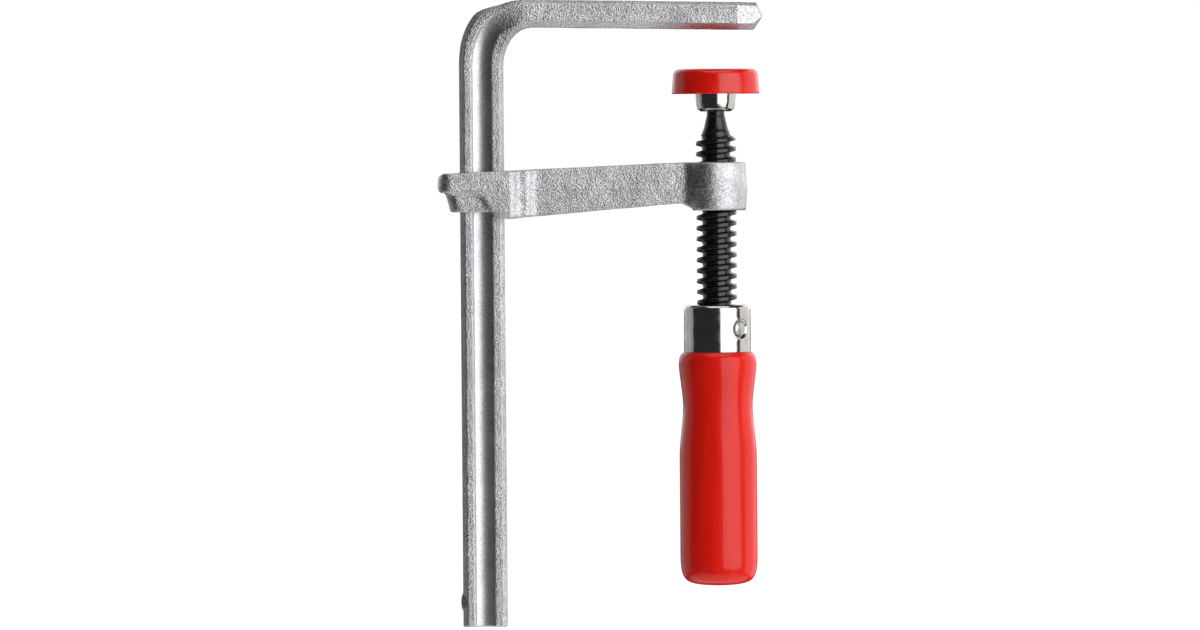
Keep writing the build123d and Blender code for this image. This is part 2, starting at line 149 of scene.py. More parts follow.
def mesh_piece(name, points, faces, materials, smoothness=None):
    """A smooth object from points in millimetres. smoothness is kept at each point for the material."""
    mesh = bpy.data.meshes.new(name)
    mesh.from_pydata([(x * MM, y * MM, z * MM) for x, y, z in points], [], faces)
    for material in materials:
        mesh.materials.append(material)
    mesh.shade_smooth()
    if smoothness:
        mesh.attributes.new("rolled", "FLOAT", "POINT").data.foreach_set("value", smoothness)
    work = bmesh.new()
    work.from_mesh(mesh)
    bmesh.ops.remove_doubles(work, verts=work.verts, dist=1e-7)
    bmesh.ops.dissolve_degenerate(work, edges=work.edges, dist=1e-7)
    bmesh.ops.recalc_face_normals(work, faces=work.faces)
    work.to_mesh(mesh)
    work.free()
    piece = bpy.data.objects.new(name, mesh)
    bpy.context.scene.collection.objects.link(piece)
    return piece


def shader(name, **settings):
    """A material, its nodes, its links and its shader, with these values on the shader's sockets."""
    material = bpy.data.materials.new(name)
    material.use_nodes = True
    nodes = material.node_tree.nodes
    surface = nodes["Principled BSDF"]
    for socket, value in settings.items():
        surface.inputs[socket.replace("_", " ")].default_value = value
    return material, nodes, material.node_tree.links, surface


def texture(nodes, links, kind, stretch=(1, 1, 1), **settings):
    """A procedural texture in the object's own metres, stretched along its axes."""
    place = nodes.new("ShaderNodeTexCoord")
    scale = nodes.new("ShaderNodeMapping")
    scale.inputs["Scale"].default_value = stretch
    made = nodes.new(kind)
    links.new(place.outputs["Object"], scale.inputs["Vector"])
    links.new(scale.outputs["Vector"], made.inputs["Vector"])
    for socket, value in settings.items():
        made.inputs[socket].default_value = value
    return made


def spread(nodes, links, source, low, high, start=0.3, end=0.7):
    """Maps a texture between start and end to values between low and high."""
    ramp = nodes.new("ShaderNodeMapRange")
    ramp.inputs["From Min"].default_value = start
    ramp.inputs["From Max"].default_value = end
    ramp.inputs["To Min"].default_value = low
    ramp.inputs["To Max"].default_value = high
    links.new(source, ramp.inputs["Value"])
    return ramp.outputs["Result"]


def tint(nodes, links, source, dark, light, start=0.3, end=0.7):
    """A colour between dark and light, driven by a texture."""
    ramp = nodes.new("ShaderNodeValToRGB")
    ramp.color_ramp.elements[0].position = start
    ramp.color_ramp.elements[1].position = end
    ramp.color_ramp.elements[0].color = (*dark, 1)
    ramp.color_ramp.elements[1].color = (*light, 1)
    links.new(source, ramp.inputs["Fac"])
    return ramp.outputs["Color"]


def product(nodes, links, first, second):
    """Two shader values multiplied."""
    times = nodes.new("ShaderNodeMath")
    times.operation = "MULTIPLY"
    links.new(first, times.inputs[0])
    links.new(second, times.inputs[1])
    return times.outputs["Value"]


def relief(nodes, links, surface, *layers):
    """Bump layers on a shader, each a texture's value and its height in metres."""
    normal = None
    for source, height in layers:
        bump = nodes.new("ShaderNodeBump")
        bump.inputs["Distance"].default_value = height
        bump.inputs["Strength"].default_value = 1.0
        links.new(source, bump.inputs["Height"])
        if normal:
            links.new(normal, bump.inputs["Normal"])
        normal = bump.outputs["Normal"]
    links.new(normal, surface.inputs["Normal"])


def zinc(name, grain, height, dark, light):
    """Zinc-plated steel with a shot-blasted grain, except where the metal was left as rolled."""
    material, nodes, links, surface = shader(name, Metallic=1.0)
    rolled = nodes.new("ShaderNodeAttribute")
    rolled.attribute_name = "rolled"
    blasted = spread(nodes, links, rolled.outputs["Fac"], 1.0, 0.1, 0.0, 1.0)
    sand = texture(nodes, links, "ShaderNodeTexNoise", Scale=1 / grain, Detail=3.0, Roughness=0.7)
    cloud = texture(nodes, links, "ShaderNodeTexNoise", Scale=110.0, Detail=4.0, Roughness=0.6)
    relief(
        nodes,
        links,
        surface,
        (product(nodes, links, cloud.outputs["Fac"], blasted), 0.7 * height),
        (product(nodes, links, sand.outputs["Fac"], blasted), height),
    )
    speckle = spread(nodes, links, sand.outputs["Fac"], 0.84, 1.16)
    patch = spread(nodes, links, cloud.outputs["Fac"], 0.9, 1.08)
    shade = nodes.new("ShaderNodeMix")
    shade.data_type = "RGBA"
    shade.inputs["A"].default_value = (*dark, 1)
    shade.inputs["B"].default_value = (*light, 1)
    mixed = spread(nodes, links, product(nodes, links, speckle, patch), 0.0, 1.0, 0.8, 1.2)
    links.new(mixed, shade.inputs["Factor"])
    links.new(shade.outputs["Result"], surface.inputs["Base Color"])
    links.new(spread(nodes, links, blasted, 0.42, 0.25, 0.1, 1.0), surface.inputs["Roughness"])
    return material


blasted_zinc = zinc("blasted_zinc", 0.52 * MM, 0.25 * MM, (0.43, 0.44, 0.455), (0.80, 0.81, 0.825))

rail_shape = (INNER_EDGE, OUTER_EDGE, HOLLOW_DEPTH, 1)
bend_x = BEND_REACH - THROAT
bend_z = -(BEND_DROP + bend_x * sin(TOE_IN)) / cos(TOE_IN)
along_arm = Vector((cos(TOE_IN), 0, -sin(TOE_IN)))
above_arm = Vector((sin(TOE_IN), 0, cos(TOE_IN)))
bend_end = bend_x * cos(TOE_IN) - bend_z * sin(TOE_IN)
stations = []


def bar_station(inner, outward, height, depth, lower_edge, upper_edge, hollow, rolled):
    """One ring of the bar's skin: its points, and how smooth each was left by the rolls."""
    section = bar_section(height, depth, lower_edge, upper_edge, hollow)
    ring = [inner + outward * (height / 2 + x) + Vector((0, y, 0)) for x, y in section]
    skin = [rolled * ease(HOLLOW_HALF - abs(x), 0.0, 0.5) for x, y in section]
    return ring, skin


def forging_swell(point):
    """How far a forged skin stands out at a point, because dies leave it slightly uneven."""
    return noise.noise(point * 0.16) * 0.10 + noise.noise(point * 0.45) * 0.04


outward = Vector((-1, 0, 0))
for i in range(FOOT_STEPS + 1):
    # the sawn foot has its edge rounded off
    inset = FOOT_ROUND * (1 - sqrt(1 - (1 - i / FOOT_STEPS) ** 2))
    z = RAIL_FOOT + FOOT_ROUND * i / FOOT_STEPS
    inner = Vector((-THROAT - inset, 0, z))
    height = RAIL_WIDTH - 2 * inset
    depth = RAIL_THICKNESS - 2 * inset
    stations.append(bar_station(inner, outward, height, depth, *rail_shape))
for i in range(1, RAIL_STEPS + 1):
    z = RAIL_FOOT + FOOT_ROUND + (bend_z - RAIL_FOOT - FOOT_ROUND) * i / RAIL_STEPS
    inner = Vector((-THROAT, 0, z))
    stations.append(bar_station(inner, outward, RAIL_WIDTH, RAIL_THICKNESS, *rail_shape))
for i in range(1, BEND_STEPS + 1):
    share = i / BEND_STEPS
    angle = (pi / 2 + TOE_IN) * share
    reach = 1 / sqrt((cos(angle) / BEND_REACH) ** 2 + (sin(angle) / BEND_DROP) ** 2)
    outward = Vector((-cos(angle), 0, sin(angle)))
    inner = Vector((bend_x, 0, bend_z)) + outward * reach
    # the bar is upset a little on the outside of the bend before it thins into the arm
    swelling = BEND_UPSET * sin(pi * min(1, share / 0.66)) ** 2
    grown = 0.62 * ease(share, 0.44, 0.72) + 0.38 * ease(share, 0.6, 1.0) - swelling
    height = RAIL_WIDTH + (ARM_HEIGHT - RAIL_WIDTH) * grown
    depth = RAIL_THICKNESS + (ARM_DEPTH - RAIL_THICKNESS) * ease(share, 0.05, 1.0)
    lower = INNER_EDGE + (ARM_LOWER_EDGE - INNER_EDGE) * ease(share, 0.5, 1.0)
    upper = OUTER_EDGE + (ARM_UPPER_EDGE - OUTER_EDGE) * ease(share, 0.5, 1.0)
    fade = 1 - ease(share, 0.2, 0.9)
    hollow = FLAT_FACE + (HOLLOW_DEPTH - FLAT_FACE) * fade
    stations.append(bar_station(inner, outward, height, depth, lower, upper, hollow, fade))
for i in range(1, ARM_STEPS + 1):
    along = bend_end + (NOSE_REACH - bend_end) * i / ARM_STEPS
    left = NOSE_REACH - along
    depth = min(ARM_DEPTH, NOSE_END + (ARM_DEPTH - NOSE_END) * left / NOSE_TAPER)
    low = max(0.0, NOSE_LOWER_RISE * (1 - left / NOSE_LOWER_LENGTH))
    high = ARM_HEIGHT - max(0.0, NOSE_UPPER_DROP * (1 - left / NOSE_UPPER_LENGTH))
    inner = along_arm * along + above_arm * low
    arm_shape = (ARM_LOWER_EDGE, ARM_UPPER_EDGE, FLAT_FACE, 0)
    stations.append(bar_station(inner, above_arm, high - low, depth, *arm_shape))

points = []
smoothness = []
faces = []
count = len(stations[0][0])
for s, (ring, skin) in enumerate(stations):
    forged = ease(s, FORGED_FROM, FORGED_FULLY)
    middle = sum(ring, Vector()) / count
    for p, rolled in zip(ring, skin):
        points.append(p + (p - middle).normalized() * forging_swell(p) * forged)
        smoothness.append(rolled)
    for k in range(count):
        if s:
            a = (s - 1) * count
            b = s * count
            n = (k + 1) % count
            faces.append((a + k, a + n, b + n, b + k))
faces.append(tuple(range(count)))
faces.append(tuple(range(len(points) - count, len(points))))
bar = mesh_piece("rail_and_fixed_arm", points, faces, [blasted_zinc], smoothness)
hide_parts("rail")
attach(bar, "rail")

# --------------------------------------------------------------------------------------------------
# End stop. A short hardened pin with a domed head, pressed into a hole in the rail's outer edge so that
# the sliding arm can't run off. It is left with its dark heat-treated skin.
STOP_Z = -161.6
STOP_RADIUS = 2.5
SHANK_RADIUS = 1.5
SHANK_LENGTH = 8.0


def lathe(name, profile, materials, steps=128, axis=None, shape=None):
    """A turned piece from (radius, height) points, about +Z or in the frame axis. shape moves points."""
    points = []
    faces = []
    for i in range(steps):
        turn = 2 * pi * i / steps
        for radius, height in profile:
            p = Vector((radius * cos(turn), radius * sin(turn), height))
            p = shape(p) if shape else p
            points.append(axis @ p if axis else p)
    rows = len(profile)
    for i in range(steps):
        a = i * rows
        b = (i + 1) % steps * rows
        faces += [(a + k, b + k, b + k + 1, a + k + 1) for k in range(rows - 1)]
    return mesh_piece(name, points, faces, materials)


def finely(profile, step):
    """The same profile with no gap between its points longer than step."""
    points = [profile[0]]
    for (r0, z0), (r1, z1) in zip(profile, profile[1:]):
        parts = max(1, int(hypot(r1 - r0, z1 - z0) / step))
        for i in range(1, parts + 1):
            points.append((r0 + (r1 - r0) * i / parts, z0 + (z1 - z0) * i / parts))
    return points


dark_skin, nodes, links, surface = shader("hardened_skin", Metallic=1.0)
mottle = texture(nodes, links, "ShaderNodeTexNoise", Scale=900.0, Detail=4.0)
colour = tint(nodes, links, mottle.outputs["Fac"], (0.10, 0.10, 0.085), (0.24, 0.23, 0.20))
links.new(colour, surface.inputs["Base Color"])
links.new(spread(nodes, links, mottle.outputs["Fac"], 0.34, 0.52), surface.inputs["Roughness"])
relief(nodes, links, surface, (mottle.outputs["Fac"], 0.05 * MM))

outward_x = Matrix.Translation((-THROAT - RAIL_WIDTH, 0, STOP_Z)) @ Matrix.Rotation(-pi / 2, 4, "Y")
dome = [(STOP_RADIUS * sin(t), -0.05 + 0.65 * cos(t)) for t in [radians(90 * i / 12) for i in range(13)]]
shank = [(SHANK_RADIUS, -0.1), (SHANK_RADIUS, -SHANK_LENGTH), (0, -SHANK_LENGTH)]
stop_profile = dome + [(STOP_RADIUS, -0.1)] + shank
stop = lathe("end_stop", stop_profile, [dark_skin], 64, outward_x)
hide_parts("end_stop_pin")
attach(stop, "rail")

# --------------------------------------------------------------------------------------------------
# Sliding arm. A drop forging in the same shot-blasted zinc finish, with draft both ways from the line
# where the dies met, a slot round the rail and a boss tapped for the spindle. The forging's skin is taken
# from the CAD part and its edges are softened as dies leave them.
THREAD_RADIUS = 5.7
ROOT_RADIUS = 4.05
CREST = 1.0
ROOT = 1.9
PITCH = 3.0
MARK_Z = -30.74
BORE_TOP = -37.5
BORE_BOTTOM = -51.2
BORE_RADIUS = 6.6
PARTING_Z = -44.8
FLASH_HEIGHT = 0.10
FLASH_HALF_WIDTH = 0.35
SLOT_MARGIN = 0.6
BORE_MARGIN = 0.4

forging_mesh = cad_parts["sliding_arm"].data.copy()
for vertex in forging_mesh.vertices:
    from_axis = hypot(vertex.co.x, vertex.co.y) / MM
    if from_axis < BORE_RADIUS:
        vertex.co.x *= BORE_RADIUS / from_axis
        vertex.co.y *= BORE_RADIUS / from_axis
rough = bpy.data.objects.new("rough_forging", forging_mesh)
bpy.context.scene.collection.objects.link(rough)
skin = rough.modifiers.new("skin", "REMESH")
skin.mode = "VOXEL"
skin.voxel_size = 0.30 * MM
soften = rough.modifiers.new("soften", "SMOOTH")
soften.factor = 0.5
soften.iterations = 16
bpy.context.view_layer.update()
softened = rough.evaluated_get(bpy.context.evaluated_depsgraph_get())
forged_mesh = bpy.data.meshes.new_from_object(softened)
bpy.data.objects.remove(rough)
normals = [vertex.normal.copy() for vertex in forged_mesh.vertices]
for vertex, normal in zip(forged_mesh.vertices, normals):
    p = vertex.co / MM
    # a faint ridge is left where the flash was ground off
    flash = FLASH_HEIGHT * max(0.0, 1 - abs(p.z - PARTING_Z) / FLASH_HALF_WIDTH)
    flash = flash if abs(normal.z) < 0.3 else 0.0
    in_slot = -THROAT - RAIL_WIDTH - SLOT_MARGIN < p.x < -THROAT + SLOT_MARGIN
    in_slot = in_slot and abs(p.y) < RAIL_THICKNESS / 2 + SLOT_MARGIN
    if not in_slot and hypot(p.x, p.y) > BORE_RADIUS + BORE_MARGIN:
        vertex.co += normal * (forging_swell(p) + flash) * MM
forged_mesh.materials.clear()
forged_mesh.materials.append(blasted_zinc)
forged_mesh.shade_smooth()
forging = bpy.data.objects.new("sliding_arm_forging", forged_mesh)
bpy.context.scene.collection.objects.link(forging)
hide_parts("sliding_arm")
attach(forging, "sliding_arm")


def thread_points(root_radius, crest_radius, root_width, crest_width, rounding):
    """One pitch of a trapezoidal thread as (height, radius) points, starting at the middle of its crest."""
    half = PITCH / 2
    corners = [(0, crest_radius), (crest_width / 2, crest_radius)]
    corners += [(root_width / 2, root_radius), (half, root_radius)]
    rise = rounded(corners, (rounding, rounding), 4)
    fall = [(PITCH - z, r) for z, r in reversed(rise[1:-1])]
    return rise + fall


def radius_at(profile, height):
    """The thread's radius at a height above the start of its profile."""
    within = height % PITCH
    for (z0, r0), (z1, r1) in zip(profile, profile[1:] + [(PITCH, profile[0][1])]):
        if z0 <= within <= z1:
            return r0 + (r1 - r0) * (within - z0) / max(1e-9, z1 - z0)
    return profile[0][1]


def helical_skin(profile, low, high, steps, envelope=None):
    """Points and faces of a right-hand thread's skin, in step with the crest at MARK_Z."""
    first = int((low - MARK_Z) / PITCH) - 3
    last = int((high - MARK_Z) / PITCH) + 3
    rows = len(profile)
    column = [(z + turn * PITCH, r) for turn in range(first, last) for z, r in profile]
    points = []
    faces = []
    for i in range(steps):
        turn = 2 * pi * i / steps
        start = MARK_Z + PITCH * i / steps
        for z, r in column:
            height = min(high, max(low, start + z))
            radius = r if low < start + z < high else radius_at(profile, height - start)
            radius = min(radius, envelope(height)) if envelope else radius
            points.append(Vector((radius * cos(turn), radius * sin(turn), height)))
    total = len(column)
    for i in range(steps):
        shift = 0 if i < steps - 1 else rows
        a = i * total
        b = (i + 1) % steps * total + shift
        faces += [(a + k, b + k, b + k + 1, a + k + 1) for k in range(total - 1 - shift)]
    return points, faces


TURN_STEPS = 120
female = thread_points(ROOT_RADIUS + 0.2, THREAD_RADIUS + 0.2, ROOT + 0.3, CREST + 0.3, 0.12)
points, faces = helical_skin(female, BORE_BOTTOM, BORE_TOP, TURN_STEPS)
rows = len(points) // TURN_STEPS
offset = len(points)
sleeve_radius = BORE_RADIUS + 0.15
for i in range(TURN_STEPS):
    turn = 2 * pi * i / TURN_STEPS
    points.append(Vector((sleeve_radius * cos(turn), sleeve_radius * sin(turn), BORE_BOTTOM)))
    points.append(Vector((sleeve_radius * cos(turn), sleeve_radius * sin(turn), BORE_TOP)))
    n = (i + 1) % TURN_STEPS
    a = offset + 2 * i
    b = offset + 2 * n
    faces.append((a, b, b + 1, a + 1))
    faces.append((rows * i, rows * n, b, a))
    faces.append((rows * i + rows - 1, rows * n + rows - 1, b + 1, a + 1))
tapping = mesh_piece("tapped_hole", points, faces, [blasted_zinc])
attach(tapping, "sliding_arm")

# --------------------------------------------------------------------------------------------------
# Spindle. A steel screw with a rolled trapezoidal thread, chemically blackened and oiled. Its upper end
# is turned down to a neck and a ball for the pressure plate, and its lower end is a plain tang inside the
# handle.
THREAD_TOP = -29.3
THREAD_BOTTOM = -79.0
RUNOUT_TOP = THREAD_TOP + 0.3
NECK_RADIUS = 2.72
NECK_Z = -24.9
BALL_Z = -18.6
BALL_RADIUS = 3.4
BALL_START = -41.0
TANG_RADIUS = 4.0
TANG_BOTTOM = -124.8

black_oxide, nodes, links, surface = shader("black_oxide", Metallic=0.0, Coat_Weight=0.25, Coat_Roughness=0.1)
surface.inputs["Specular IOR Level"].default_value = 0.45
oil = texture(nodes, links, "ShaderNodeTexNoise", Scale=700.0, Detail=4.0)
turned = texture(nodes, links, "ShaderNodeTexNoise", (1, 1, 14), Scale=260.0, Detail=2.0)
colour = tint(nodes, links, oil.outputs["Fac"], (0.003, 0.003, 0.0035), (0.010, 0.010, 0.011))
links.new(colour, surface.inputs["Base Color"])
links.new(spread(nodes, links, oil.outputs["Fac"], 0.16, 0.28), surface.inputs["Roughness"])
relief(nodes, links, surface, (turned.outputs["Fac"], 0.02 * MM), (oil.outputs["Fac"], 0.015 * MM))


def runout(height):
    """The largest radius the thread may have at a height: it dies away below the neck."""
    return THREAD_RADIUS + 0.3 - 2.25 * ease(height, THREAD_TOP - 2.3, RUNOUT_TOP)


def smooth_curve(knots, parts):
    """A smooth curve through the knots."""
    padded = [knots[0]] + knots + [knots[-1]]
    curve = []
    for a, b, c, d in zip(padded, padded[1:], padded[2:], padded[3:]):
        for i in range(parts):
            t = i / parts
            m0 = -t + 2 * t * t - t**3
            m1 = 2 - 5 * t * t + 3 * t**3
            m2 = t + 4 * t * t - 3 * t**3
            m3 = t**3 - t * t
            curve.append(tuple(0.5 * (m0 * a[k] + m1 * b[k] + m2 * c[k] + m3 * d[k]) for k in (0, 1)))
    return curve + [knots[-1]]


male = thread_points(ROOT_RADIUS, THREAD_RADIUS, ROOT, CREST, 0.16)
points, faces = helical_skin(male, THREAD_BOTTOM, RUNOUT_TOP, TURN_STEPS, runout)
thread = mesh_piece("spindle_thread", points, faces, [black_oxide])

waist = [(ROOT_RADIUS, THREAD_TOP - 0.5), (3.9, -29.0), (3.66, -28.5), (3.3, -27.4), (3.02, -26.2)]
waist += [(2.82, -25.3), (NECK_RADIUS, NECK_Z)]
flare = smooth_curve(waist, 5)
collar_corners = [(NECK_RADIUS, NECK_Z), (NECK_RADIUS, -24.7), (2.55, -24.4), (2.5, -20.9), (2.6, -20.9)]
collar = rounded(collar_corners, (0.1, 0.15, 0.05))
ball_angles = [radians(BALL_START + (90 - BALL_START) * i / 24) for i in range(25)]
ball = [(BALL_RADIUS * cos(t), BALL_Z + BALL_RADIUS * sin(t)) for t in ball_angles]
core = [(0, THREAD_TOP - 3), (ROOT_RADIUS - 0.02, THREAD_TOP - 3)]
neck = lathe("spindle_neck_and_ball", core + flare + collar[1:-1] + ball, [black_oxide])
tang_corners = [(0, THREAD_BOTTOM + 0.1), (TANG_RADIUS, THREAD_BOTTOM + 0.1)]
tang_corners += [(TANG_RADIUS, TANG_BOTTOM), (0, TANG_BOTTOM)]
tang = lathe("spindle_tang", rounded(tang_corners, (0.2, 0.8)), [black_oxide], 64)
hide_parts("spindle")
for piece in (thread, neck, tang):
    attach(piece, "spindle")

# --------------------------------------------------------------------------------------------------
# Pressure plate. A turned steel disc with the ball's cup below it, nickel plated bright. The cup's mouth
# is rolled in a little round the spindle's neck, and it is bored out as the socket for the ball.
nickel, nodes, links, surface = shader("bright_nickel", Metallic=1.0)
film = texture(nodes, links, "ShaderNodeTexNoise", Scale=260.0, Detail=3.0)
lines = texture(nodes, links, "ShaderNodeTexNoise", (1, 1, 30), Scale=300.0, Detail=3.0)
colour = tint(nodes, links, film.outputs["Fac"], (0.50, 0.48, 0.46), (0.60, 0.58, 0.56))
links.new(colour, surface.inputs["Base Color"])
links.new(spread(nodes, links, film.outputs["Fac"], 0.09, 0.17), surface.inputs["Roughness"])
relief(nodes, links, surface, (lines.outputs["Fac"], 0.006 * MM), (film.outputs["Fac"], 0.03 * MM))

GROOVE_LOW = -21.55
GROOVE_HIGH = -19.6
socket = BALL_RADIUS + 0.06
outside = [(0, -13.0), (10.9, -13.0), (10.9, -16.2), (5.8, -16.2), (5.75, -18.2), (5.5, -21.0), (5.15, -22.5)]
outside += [(4.2, -23.2), (socket, -23.2), (socket, GROOVE_LOW), (4.35, GROOVE_LOW), (4.35, GROOVE_HIGH)]
outside += [(socket, GROOVE_HIGH), (socket, BALL_Z)]
plate_profile = rounded(outside, (0.4, 0.4, 0.5, 0.1, 0.5, 0.8, 0.35, 0.1, 0.05, 0.02, 0.02, 0.02))
roof = [(socket * cos(t), BALL_Z + socket * sin(t)) for t in [radians(90 * i / 16) for i in range(1, 17)]]
plate = lathe("pressure_plate_and_cup", finely(plate_profile, 0.6) + roof, [nickel])
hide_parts("pressure_plate")
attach(plate, "pressure_plate")

# --------------------------------------------------------------------------------------------------
# Snap ring. A split ring of bright drawn spring wire. It sits sprung into the cup's groove, where it
# keeps the ball from pulling out.
spring_wire, nodes, links, surface = shader("spring_wire", Metallic=1.0)
drawn = texture(nodes, links, "ShaderNodeTexNoise", Scale=2500.0, Detail=2.0)
colour = tint(nodes, links, drawn.outputs["Fac"], (0.36, 0.35, 0.33), (0.50, 0.49, 0.47))
links.new(colour, surface.inputs["Base Color"])
links.new(spread(nodes, links, drawn.outputs["Fac"], 0.22, 0.36), surface.inputs["Roughness"])
relief(nodes, links, surface, (drawn.outputs["Fac"], 0.01 * MM))

RING_RADIUS = 3.3
WIRE_RADIUS = 0.4
RING_Z = -20.571
RING_SWEEP = 340
RING_STEPS = 102
WIRE_STEPS = 20
points = []
faces = []
for i in range(RING_STEPS + 1):
    turn = radians(RING_SWEEP * i / RING_STEPS)
    wire = WIRE_RADIUS * (0.8 if i in (0, RING_STEPS) else 1)
    for k in range(WIRE_STEPS):
        a = 2 * pi * k / WIRE_STEPS
        out = RING_RADIUS + wire * cos(a)
        points.append(Vector((out * cos(turn), out * sin(turn), RING_Z + wire * sin(a))))
        if i:
            b = WIRE_STEPS * i
            n = (k + 1) % WIRE_STEPS
            faces.append((b + k - WIRE_STEPS, b + n - WIRE_STEPS, b + n, b + k))
faces += [tuple(range(WIRE_STEPS)), tuple(range(len(points) - WIRE_STEPS, len(points)))]
snap = mesh_piece("snap_ring_wire", points, faces, [spring_wire])
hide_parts("snap_ring")
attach(snap, "swivel_ring")

# --------------------------------------------------------------------------------------------------
# Protective cap. Soft injection-moulded plastic in glossy red, stretched over the plate so that the work
# isn't marked. Its skirt widens slightly to the mouth and its lip holds it under the plate.
red_plastic, nodes, links, surface = shader("red_plastic", Metallic=0.0, Coat_Weight=0.1, Coat_Roughness=0.12)
surface.inputs["Subsurface Weight"].default_value = 0.06
surface.inputs["Subsurface Radius"].default_value = (0.002, 0.0006, 0.0004)
surface.inputs["IOR"].default_value = 1.5
flow = texture(nodes, links, "ShaderNodeTexNoise", Scale=180.0, Detail=3.0)
grain = texture(nodes, links, "ShaderNodeTexNoise", Scale=2600.0, Detail=2.0)
colour = tint(nodes, links, flow.outputs["Fac"], (0.76, 0.009, 0.003), (0.84, 0.012, 0.004))
links.new(colour, surface.inputs["Base Color"])
links.new(spread(nodes, links, flow.outputs["Fac"], 0.2, 0.3), surface.inputs["Roughness"])
relief(nodes, links, surface, (flow.outputs["Fac"], 0.08 * MM), (grain.outputs["Fac"], 0.008 * MM))

cap_corners = [(0, -11.1), (11.86, -11.1), (12.48, -18.2), (11.2, -18.2), (10.3, -17.3), (10.3, -16.25)]
cap_corners += [(10.95, -16.25), (10.95, -12.95), (0, -12.95)]
cap_profile = rounded(cap_corners, (1.9, 0.35, 0.3, 0.25, 0.1, 0.05, 0.3), 10)


def moulded(p):
    """The sprue's small scar in the middle of the top, and a faint sink where the wall meets the top."""
    r = hypot(p.x, p.y)
    if p.z > -11.6:
        scar = 0.12 * ease(1.5 - r, 0, 0.5) - 0.10 * ease(0.8 - r, 0, 0.3)
        p.z -= scar + 0.05 * ease(r, 6.0, 9.5)
    return p


cap = lathe("soft_cap", finely(cap_profile, 0.35), [red_plastic], 160, None, moulded)
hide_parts("protective_cap")
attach(cap, "pressure_plate")

# --------------------------------------------------------------------------------------------------
# Ferrule and cross pin. The ferrule is a cup drawn from thin steel and nickel plated, pressed over the
# handle's neck. The steel pin goes through ferrule, wood and tang, and its ends are peened over in a
# dimple punched on each side.
FERRULE_TOP = -77.9
FERRULE_ROOF = -78.9
FERRULE_BOTTOM = -91.4
FERRULE_RADIUS = 9.45
FERRULE_BORE = 8.46
DIMPLE_DEPTH = 0.62
DIMPLE_RADIUS = 2.95
DIMPLE_LIP = 0.05
PIN_RADIUS = 1.5
PIN_HEAD_RADIUS = 2.0
PIN_Z = -84.7
PIN_TURN = radians(-45)
pin_way = Vector((cos(PIN_TURN), sin(PIN_TURN), 0))


def dimpled(p):
    """The ferrule's wall pushed in round each end of the pin."""
    if hypot(p.x, p.y) < 8.9:
        return p
    for way in (1, -1):
        if p.dot(pin_way) * way > 0:
            side = pin_way.cross(Vector((0, 0, 1))).dot(p)
            away = hypot(side, p.z - PIN_Z)
            pushed = DIMPLE_DEPTH * ease(DIMPLE_RADIUS - away, 0, 0.95)
            lip = DIMPLE_LIP * ease(3.7 - away, 0, 0.7) * ease(away, 2.6, 3.1)
            p = p - pin_way * way * (pushed - lip)
    return p


hole = THREAD_RADIUS + 0.2
ferrule_corners = [(hole, FERRULE_ROOF), (hole, FERRULE_TOP), (FERRULE_RADIUS, FERRULE_TOP)]
ferrule_corners += [(FERRULE_RADIUS, FERRULE_BOTTOM), (FERRULE_BORE, FERRULE_BOTTOM)]
ferrule_corners += [(FERRULE_BORE, FERRULE_ROOF), (hole, FERRULE_ROOF)]
ferrule_profile = finely(rounded(ferrule_corners, (0.35, 1.25, 0.25, 0.2, 0.3), 8), 0.16)
ferrule = lathe("ferrule_cup", ferrule_profile, [nickel], 320, None, dimpled)
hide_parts("ferrule")
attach(ferrule, "spindle")

peened, nodes, links, surface = shader("peened_steel", Metallic=1.0)
hammered = texture(nodes, links, "ShaderNodeTexVoronoi", Scale=900.0)
colour = tint(nodes, links, hammered.outputs["Distance"], (0.46, 0.45, 0.44), (0.60, 0.59, 0.58), 0, 0.8)
links.new(colour, surface.inputs["Base Color"])
links.new(spread(nodes, links, hammered.outputs["Distance"], 0.24, 0.36, 0, 0.8), surface.inputs["Roughness"])
relief(nodes, links, surface, (hammered.outputs["Distance"], 0.05 * MM))

half = [(PIN_RADIUS, 0.0), (PIN_RADIUS, 8.9), (PIN_HEAD_RADIUS, 8.95)]
head_angles = [radians(90 * i / 10) for i in range(1, 11)]
half += [(PIN_HEAD_RADIUS * cos(t), 8.98 + 0.47 * sin(t)) for t in head_angles]
along_pin = Matrix.Translation((0, 0, PIN_Z)) @ pin_way.to_track_quat("Z", "Y").to_matrix().to_4x4()
pin_profile = [(r, -z) for r, z in reversed(half[1:])] + half
pin = lathe("peened_cross_pin", pin_profile, [peened], 64, along_pin)
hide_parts("cross_pin")
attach(pin, "spindle")

# --------------------------------------------------------------------------------------------------
# Handle. Turned hardwood, dipped in red lacquer thick enough to gloss over the grain, which still shows
# as faint lengthwise ripples. It is waisted below its shoulder and has a rounded end.
HANDLE_TOP = FERRULE_BOTTOM
HANDLE_LENGTH = 66.1
WOOD_NECK_RADIUS = 8.44
WOOD_NECK_LENGTH = 12.4
GRIP_RADIUS = 10.95
GRIP_START = 29.5
GRIP_END = HANDLE_LENGTH - 8.5

